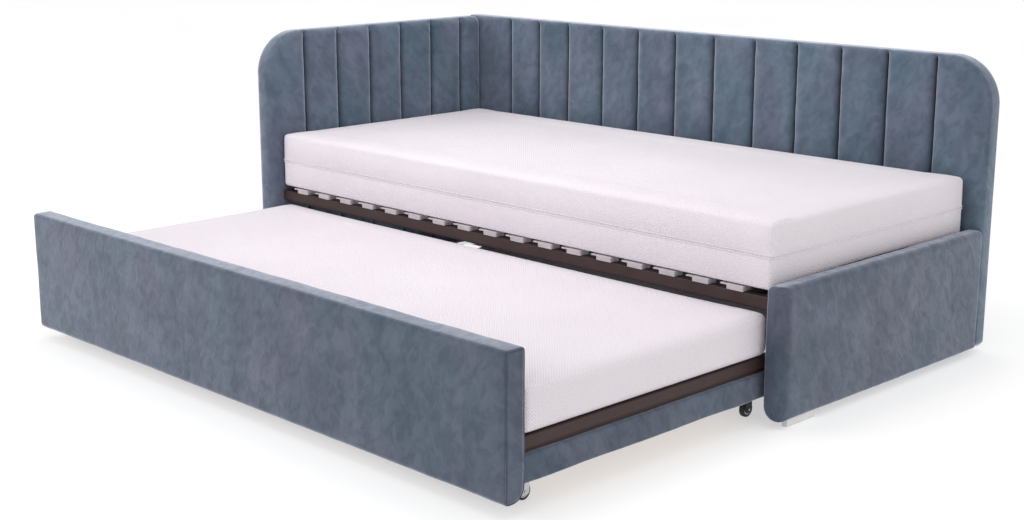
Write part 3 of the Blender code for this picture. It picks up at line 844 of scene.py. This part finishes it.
def make_boards():
    upholstered_board(
        "foot_upholstery", "foot_panel", "bed", "y", FOOT_RADII, FOOT_END_RADIUS, 21.0,
        spacing=FOOT_SPACING, cap_insets=FOOT_CAP_INSETS, corner=FOOT_CORNER,
    )
    upholstered_board(
        "trundle_front_upholstery", "trundle_front_panel", "trundle", "x",
        FRONT_RADII, BOARD_END_RADIUS, 33.0, seam=True,
    )
    for seed, end in ((41.0, "head"), (47.0, "foot")):
        upholstered_board(
            "trundle_side_cover_" + end, "trundle_side_" + end, "trundle", "y",
            COVER_RADII, BOARD_END_RADIUS, seed, spacing=COVER_SPACING,
        )
    upholstered_board(
        "trundle_rear_cover", "trundle_rear_board", "trundle", "x",
        COVER_RADII, BOARD_END_RADIUS, 53.0, spacing=COVER_SPACING,
    )


# ---------------------------------------------------------------- mattresses


def pinned_weights(item, low, high, seam_z):
    """How firmly each point of a mattress is held: fully underneath and at the seam, lightly on top."""
    group = item.vertex_groups.new(name="held")
    for vert in item.data.vertices:
        x, y, z = vert.co
        rim = min(x - low.x, high.x - x, y - low.y, high.y - y)
        at_seam = seam_z is not None and abs(z - seam_z) < HELD_REACH and rim < 0.01
        if z < low.z + HELD_REACH or at_seam:
            weight = 1.0
        elif z > high.z - HELD_REACH and rim > 0.10:
            weight = 0.55
        else:
            weight = 0.12
        group.add([vert.index], weight, "REPLACE")
    return group.name


def swell(item, group):
    """Blow the cover up a little by cloth simulation, cap the movement and keep the result."""
    scene = bpy.context.scene
    start = np.empty(len(item.data.vertices) * 3)
    item.data.vertices.foreach_get("co", start)
    cloth = item.modifiers.new("Cloth", "CLOTH")
    settings = cloth.settings
    settings.quality = 5
    settings.mass = 0.25
    settings.tension_stiffness = 18
    settings.compression_stiffness = 18
    settings.shear_stiffness = 8
    settings.bending_stiffness = 0.8
    settings.use_pressure = True
    settings.uniform_pressure_force = SWELL_PRESSURE
    settings.vertex_group_mass = group
    settings.pin_stiffness = 1.0
    settings.effector_weights.gravity = 0.0
    cloth.collision_settings.use_collision = False
    cloth.point_cache.frame_start = 1
    cloth.point_cache.frame_end = SWELL_FRAMES
    for step in range(1, SWELL_FRAMES + 1):
        scene.frame_set(step)
    depsgraph = bpy.context.evaluated_depsgraph_get()
    result = bpy.data.meshes.new_from_object(item.evaluated_get(depsgraph))
    end = np.empty(len(start))
    result.vertices.foreach_get("co", end)
    bpy.data.meshes.remove(result)
    item.modifiers.remove(cloth)
    scene.frame_set(1)
    move = (end - start).reshape(-1, 3)
    length = np.linalg.norm(move, axis=1)
    capped = SWELL_CAP * np.tanh(length / SWELL_CAP)
    move *= (capped / np.maximum(length, TINY))[:, None]
    item.data.vertices.foreach_set("co", (start.reshape(-1, 3) + move).ravel())
    item.data.update()


def make_mattress(name, node, body, seam_share, edge, spread=0.0, sag=0.0):
    """A mattress in its CAD box, spread at both ends, its underside sagging toward its long sides."""
    low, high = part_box(node)
    inner_low = Vector((low.x + COVER_INSET - spread, low.y + COVER_INSET, low.z + GAP))
    inner_high = Vector((high.x - COVER_INSET + spread, high.y - COVER_INSET, high.z - COVER_INSET))
    seam_z = None if seam_share is None else low.z + (high.z - low.z) * seam_share
    rows = () if seam_z is None else tuple(seam_z + offset for offset in SEAM_ROWS)
    shape = Shape()
    shape.add(*soft_box(inner_low, inner_high, edge, MATTRESS_CELL, rows))
    item = shape.build(name, [TICKING])
    group = pinned_weights(item, inner_low, inner_high, seam_z)
    swell(item, group)
    keep_inside(item, low, high, spread)
    if sag:
        settle(item, low, high, sag)
    item.vertex_groups.clear()
    smooth = item.modifiers.new("Smooth", "SUBSURF")
    smooth.levels = 1
    smooth.render_levels = 1
    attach(item, body)
    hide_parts(node)
    return item, inner_low, inner_high, seam_z


def keep_inside(item, low, high, spread):
    """Hold the underside above its slats, the top near the solid's own height and the ends off the panels."""
    for vert in item.data.vertices:
        vert.co.x = min(max(vert.co.x, low.x - spread), high.x + spread)
        vert.co.z = min(max(vert.co.z, low.z + GAP), high.z + TOP_RISE)


def settle(item, low, high, sag):
    """Let the lower half of a mattress follow slats that are bowed upward in the middle."""
    middle = (low.y + high.y) / 2
    half = (high.y - low.y) / 2
    for vert in item.data.vertices:
        share = max(0.0, 1 - (vert.co.z - low.z) / (high.z - low.z))
        vert.co.z -= sag * share * ((vert.co.y - middle) / half) ** 2


def rounded_path(low, high, radius, z, outset, corner_steps=8):
    """A closed rounded rectangle at one height."""
    points = []
    corners = (
        (high.x - radius, high.y - radius, 0.0),
        (low.x + radius, high.y - radius, QUARTER_TURN),
        (low.x + radius, low.y + radius, 2 * QUARTER_TURN),
        (high.x - radius, low.y + radius, 3 * QUARTER_TURN),
    )
    for x, y, start in corners:
        for k in range(corner_steps + 1):
            angle = start + k * QUARTER_TURN / corner_steps
            reach = radius + outset
            points.append((x + reach * math.cos(angle), y + reach * math.sin(angle), z))
    return points


def cord_curve(name, points, radius, material):
    """A closed round cord through the points."""
    curve = bpy.data.curves.new(name, "CURVE")
    curve.dimensions = "3D"
    curve.bevel_depth = radius
    curve.bevel_resolution = 3
    curve.use_fill_caps = True
    spline = curve.splines.new("POLY")
    spline.points.add(len(points) - 1)
    for point, place in zip(spline.points, points):
        point.co = (*place, 1.0)
    spline.use_cyclic_u = True
    curve.materials.append(material)
    item = bpy.data.objects.new(name, curve)
    bpy.context.scene.collection.objects.link(item)
    return item


def make_mattresses():
    item, low, high, seam_z = make_mattress(
        "upper_mattress_cover", "upper_mattress", "bed", 0.50, MATTRESS_EDGE, UPPER_SPREAD, UPPER_SAG
    )
    for side, offset in (("upper", WELT_OFFSET), ("lower", -WELT_OFFSET)):
        path = rounded_path(low, high, MATTRESS_EDGE, seam_z + offset - UPPER_SAG / 2, WELT_OUTSET)
        welt = cord_curve("mattress_welt_" + side, path, WELT_RADIUS, TICKING)
        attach(welt, "bed")
    make_mattress("trundle_mattress_cover", "trundle_mattress", "trundle", None, TRUNDLE_EDGE)
    make_label()


def make_label():
    """A blank woven label near the rear edge of the trundle's mattress, lifted a little at the back."""
    low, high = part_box("trundle_mattress")
    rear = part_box("bed_rail_front")[0].y - 0.001
    middle = (low.x + high.x) / 2 + LABEL_OFFSET
    shape = Shape()
    points, faces = soft_box(
        (middle - LABEL_WIDTH / 2, rear - LABEL_DEPTH, high.z + 0.0012),
        (middle + LABEL_WIDTH / 2, rear, high.z + 0.0024),
        0.0005, 0.004,
    )
    curled = [(x, y, z + LABEL_CURL * (1 - (rear - y) / LABEL_DEPTH)) for x, y, z in points]
    shape.add(curled, faces)
    label = shape.build("mattress_label", [LABEL])
    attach(label, "trundle")


# ---------------------------------------------------------------- slats and casters


def slat_shape(node):
    """A bowed board in two moulded caps, as wide and long as the CAD slat."""
    low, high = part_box(node)
    cap_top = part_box("bed_rail_front")[1].z + CAP_HEIGHT
    middle_y = (low.y + high.y) / 2
    half = (high.y - low.y) / 2
    right_x = high.x
    left_x = high.x - CAP_WIDTH
    board_middle = (left_x + right_x) / 2
    bow = high.z - cap_top + BOARD_SEAT
    shape = Shape()
    rings = []
    for y in steps(middle_y - half + BOARD_END_GAP, middle_y + half - BOARD_END_GAP, SLAT_SPACING):
        centre_z = high.z - bow * ((y - middle_y) / half) ** 2 - BOARD_THICKNESS / 2
        loop = rounded_loop(BOARD_WIDTH, BOARD_THICKNESS, (BOARD_EDGE,) * 4, 0.0, 0.03, 4)
        rings.append([(board_middle + a, y, centre_z + b) for a, b in loop])
    shape.add(*loft(rings, flip=True), slot=0)
    for side in (-1, 1):
        outer = middle_y + side * half
        inner = outer - side * CAP_LENGTH
        y0, y1 = sorted((outer, inner))
        shape.add(*soft_box((left_x, y0, low.z), (right_x, y1, cap_top), 0.0018, 0.02), slot=1)
        tongue_top = cap_top - 0.001
        tongue_low = (left_x - CAP_TONGUE, y0 + CAP_INSET, tongue_top - CAP_TONGUE_THICKNESS)
        tongue_high = (left_x + CAP_TONGUE_LAP, y1 - CAP_INSET, tongue_top)
        shape.add(*soft_box(tongue_low, tongue_high, 0.0012, 0.02), slot=1)
    return shape


def make_slats():
    for node in sorted(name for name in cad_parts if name.startswith("bed_slat_")):
        item = slat_shape(node).build("visual_" + node, [FOIL, CAP_GREY], 40)
        face_outward(item)
        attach(item, "bed")
        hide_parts(node)


def rail_shape(node, along, out, step):
    """A bar with its outer face set back along the lower edge; out is the side it faces, -1 or 1."""
    low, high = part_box(node)
    size = high - low
    middle = (low + high) / 2
    half_a = (size.y if along == "x" else size.x) / 2
    half_b = size.z / 2
    lip = -half_b + step
    inset = half_a - RAIL_STEP_DEPTH
    soft_a = half_a - RAIL_EDGE
    soft_b = half_b - RAIL_EDGE
    section = [
        (-half_a, -half_b), (inset, -half_b), (inset, lip),
        (soft_a, lip), (half_a, lip + RAIL_EDGE), (half_a, soft_b), (soft_a, half_b),
        (-soft_a, half_b), (-half_a, soft_b),
    ]
    rings = []
    if along == "x":
        for x in steps(low.x, high.x, RAIL_SPACING):
            rings.append([(x, middle.y + out * a, middle.z + b) for a, b in section])
    else:
        for y in steps(low.y, high.y, RAIL_SPACING):
            rings.append([(middle.x + out * a, y, middle.z + b) for a, b in section])
    shape = Shape()
    shape.add(*loft(rings))
    return shape


def make_rails():
    rails = (
        ("bed_rail_front", "bed", "x", -1, BED_RAIL_STEP),
        ("trundle_rail_front", "trundle", "x", -1, RAIL_STEP_HEIGHT),
        ("trundle_rail_rear", "trundle", "x", 1, RAIL_STEP_HEIGHT),
        ("trundle_rail_head", "trundle", "y", -1, RAIL_STEP_HEIGHT),
        ("trundle_rail_foot", "trundle", "y", 1, RAIL_STEP_HEIGHT),
    )
    for node, body, along, out, step in rails:
        item = rail_shape(node, along, out, step).build("visual_" + node, [BROWN], 30)
        face_outward(item)
        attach(item, body)
        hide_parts(node)


def make_wheels():
    for node in sorted(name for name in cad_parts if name.startswith("caster_wheel_")):
        low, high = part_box(node)
        centre = (low + high) / 2
        radius = (high.z - low.z) / 2
        half = (high.x - low.x) / 2
        lip = WHEEL_BORE + 0.003
        tyre_half = [(1.0, 0.70), (1.0, 0.90), (0.82, 0.965), (0.5, 0.992)]
        left_tyre = [(-half * a, radius * r) for a, r in tyre_half]
        right_tyre = [(-x, r) for x, r in reversed(left_tyre)]
        tyre = left_tyre + [(0.0, radius)] + right_tyre + [(0.0, radius * 0.66)]
        hub_rise = [(0.96, 0.30), (0.62, 0.36), (0.62, 0.58), (0.88, 0.64), (0.90, 0.71)]
        left_hub = [(-half * 0.90, WHEEL_BORE), (-half * 0.96, lip)]
        left_hub += [(-half * a, radius * r) for a, r in hub_rise]
        hub = left_hub + [(-x, r) for x, r in reversed(left_hub)]
        shape = Shape()
        shape.add(*turned(tyre, centre, WHEEL_SIDES), slot=0)
        shape.add(*turned(hub, centre, WHEEL_SIDES), slot=1)
        item = shape.build("visual_" + node, [TYRE, HUB], 40)
        face_outward(item)
        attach(item, "wheel_" + node.replace("caster_wheel_", ""))
        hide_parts(node)


def finish_cad_nodes():
    """Give every CAD piece that stays in view its own procedural finish."""
    finishes = (
        ("bed_rail", BROWN), ("bed_bracket", BROWN), ("trundle_rail", BROWN), ("trundle_bearer", PINE),
        ("trundle_slats", PINE), ("skid", NYLON),
        # The rear forks take the shaded copy of the zinc, which is painted shade.
        ("caster_fork_front", ZINC), ("caster_fork_rear", REAR_ZINC_SHADED_COPY), ("caster_axle", ZINC),
    )
    for name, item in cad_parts.items():
        for start, finish in finishes:
            if name.startswith(start):
                item.data.materials.clear()
                item.data.materials.append(finish)
                item.data.shade_smooth()
                item.data.set_sharp_from_angle(angle=math.radians(32))


# ---------------------------------------------------------------- floor, light, camera


def bay_shade(tree):
    """White, falling to black on the floor under the rear of the bed, which is left without glow."""
    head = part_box("head_panel")[1]
    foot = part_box("foot_panel")[0]
    back_low, back_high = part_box("back_panel")
    split = tree.nodes.new("ShaderNodeSeparateXYZ")
    tree.links.new(object_coordinates(tree), split.inputs[0])
    inside = None
    for axis, start, end in ((0, head.x, foot.x), (1, back_low.y - BAY_DEPTH, back_high.y)):
        for sign, edge in ((1.0, start), (-1.0, end)):
            beyond = maths(tree, "SUBTRACT", split.outputs[axis], edge)
            far = maths(tree, "MULTIPLY", beyond, sign / BAY_SOFT)
            inside = far if inside is None else maths(tree, "MINIMUM", inside, far)
    return ramp(tree, inside, [(0.0, (1.0, 1.0, 1.0)), (1.0, (0.0, 0.0, 0.0))])


def make_stage():
    bpy.ops.mesh.primitive_plane_add(size=60.0, location=(0.0, 0.0, 0.0))
    floor = bpy.context.object
    floor.name = "studio_floor"
    material, tree, shader = node_material("studio_floor", 0.9, Specular_IOR_Level=0.1)
    vector = object_coordinates(tree)
    cloud = noise_texture(tree, vector, 0.6, 2.0)
    pale = ramp(tree, cloud, [(0.3, (0.55, 0.55, 0.55)), (0.7, (0.57, 0.57, 0.57))])
    tree.links.new(pale, shader.inputs["Base Color"])
    # The floor glows: painted light that lifts the shadows on it, masked off under the rear of the bed.
    shader.inputs["Emission Strength"].default_value = 0.50
    tree.links.new(bay_shade(tree), shader.inputs["Emission Color"])
    floor.data.materials.append(material)
    world = bpy.data.worlds.new("studio")
    world.use_nodes = True
    world.node_tree.nodes["Background"].inputs["Color"].default_value = (1.0, 1.0, 1.0, 1.0)
    world.node_tree.nodes["Background"].inputs["Strength"].default_value = 0.86
    bpy.context.scene.world = world
    lights = (
        ("overhead", (0.0, -0.3, 4.6), (0.0, 0.0, 0.0), 5.0, 26.0),
        ("inner", (0.15, -0.40, 2.4), (-0.85, 0.80, 0.55), 1.2, 17.0),
        ("front_left", (-3.2, -5.2, 3.2), (0.0, 0.2, 0.4), 2.4, 76.0),
        ("right_rear", (3.6, 4.4, 2.8), (-0.6, 0.0, 0.4), 2.6, 10.0),
    )
    for name, place, target, size, power in lights:
        lamp = bpy.data.lights.new(name, "AREA")
        lamp.shape = "SQUARE"
        lamp.size = size
        lamp.energy = power
        item = bpy.data.objects.new(name, lamp)
        item.location = place
        item.rotation_euler = (Vector(target) - Vector(place)).to_track_quat("-Z", "Y").to_euler()
        bpy.context.scene.collection.objects.link(item)


def make_camera():
    data = bpy.data.cameras.new("camera")
    data.lens = CAMERA_LENS
    data.sensor_width = 36.0
    data.shift_x, data.shift_y = CAMERA_SHIFT
    item = bpy.data.objects.new("camera", data)
    ahead = Vector((
        -math.sin(CAMERA_PAN) * math.cos(CAMERA_TILT),
        math.cos(CAMERA_PAN) * math.cos(CAMERA_TILT),
        math.sin(CAMERA_TILT),
    ))
    across = Vector((math.cos(CAMERA_PAN), math.sin(CAMERA_PAN), 0.0))
    above = across.cross(ahead)
    rolled_across = across * math.cos(CAMERA_ROLL) + above * math.sin(CAMERA_ROLL)
    rolled_above = above * math.cos(CAMERA_ROLL) - across * math.sin(CAMERA_ROLL)
    turn = Matrix((rolled_across, rolled_above, -ahead)).transposed()
    item.matrix_world = Matrix.Translation(CAMERA_PLACE) @ turn.to_4x4()
    bpy.context.scene.collection.objects.link(item)
    bpy.context.scene.camera = item


make_stage()
make_camera()
finish_cad_nodes()
make_tall_panels()
make_boards()
make_mattresses()
make_slats()
make_rails()
make_wheels()
bpy.context.scene.view_settings.view_transform = "Standard"
